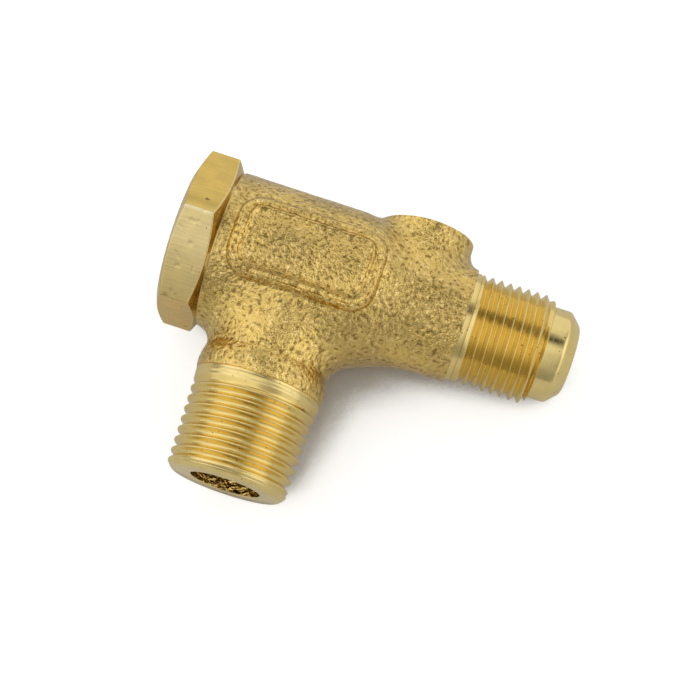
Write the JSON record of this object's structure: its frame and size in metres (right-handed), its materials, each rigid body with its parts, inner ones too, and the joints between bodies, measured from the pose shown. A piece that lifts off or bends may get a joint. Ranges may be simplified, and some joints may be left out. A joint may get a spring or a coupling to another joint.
{
  "type": "non-return valve",
  "caption": "Right-angle brass non-return valve for an air tank: cast body with a hexagon cap, threaded nipple in, taper-threaded branch out and a small tapped side boss.",
  "frame": {"origin": "under the middle of the valve's bounding box, at the height of the hexagon cap's lowest corner", "axes": "+X along the main bore towards the nipple, -Y down the branch, +Y out of the side boss, +Z out of the nameplate; the bore axes cross at (-13.775, 12.3, 15.58) mm. The valve lies on its side, as in the picture"},
  "size_m": [0.0696, 0.0524, 0.0312],
  "materials": {
    "cast_brass": "rough sand-cast",
    "turned_brass": "machined",
    "seal_rubber": "matte",
    "spring_steel": "drawn wire"
  },
  "bodies": {
    "valve": {"valve_body": "cast_brass", "hex_cap": "turned_brass", "cap_o_ring": "seal_rubber", "return_spring": "spring_steel"},
    "piston": {"valve_piston": "turned_brass", "seal_disc": "seal_rubber"}
  },
  "joints": [
    {"name": "piston_lift", "type": "slide", "parent": "valve", "child": "piston", "axis": [-1, 0, 0], "range_m": [0, 0.0045], "stiffness_N_per_m": 90, "springref_m": -0.006, "deforming": ["return_spring"]}
  ]
}
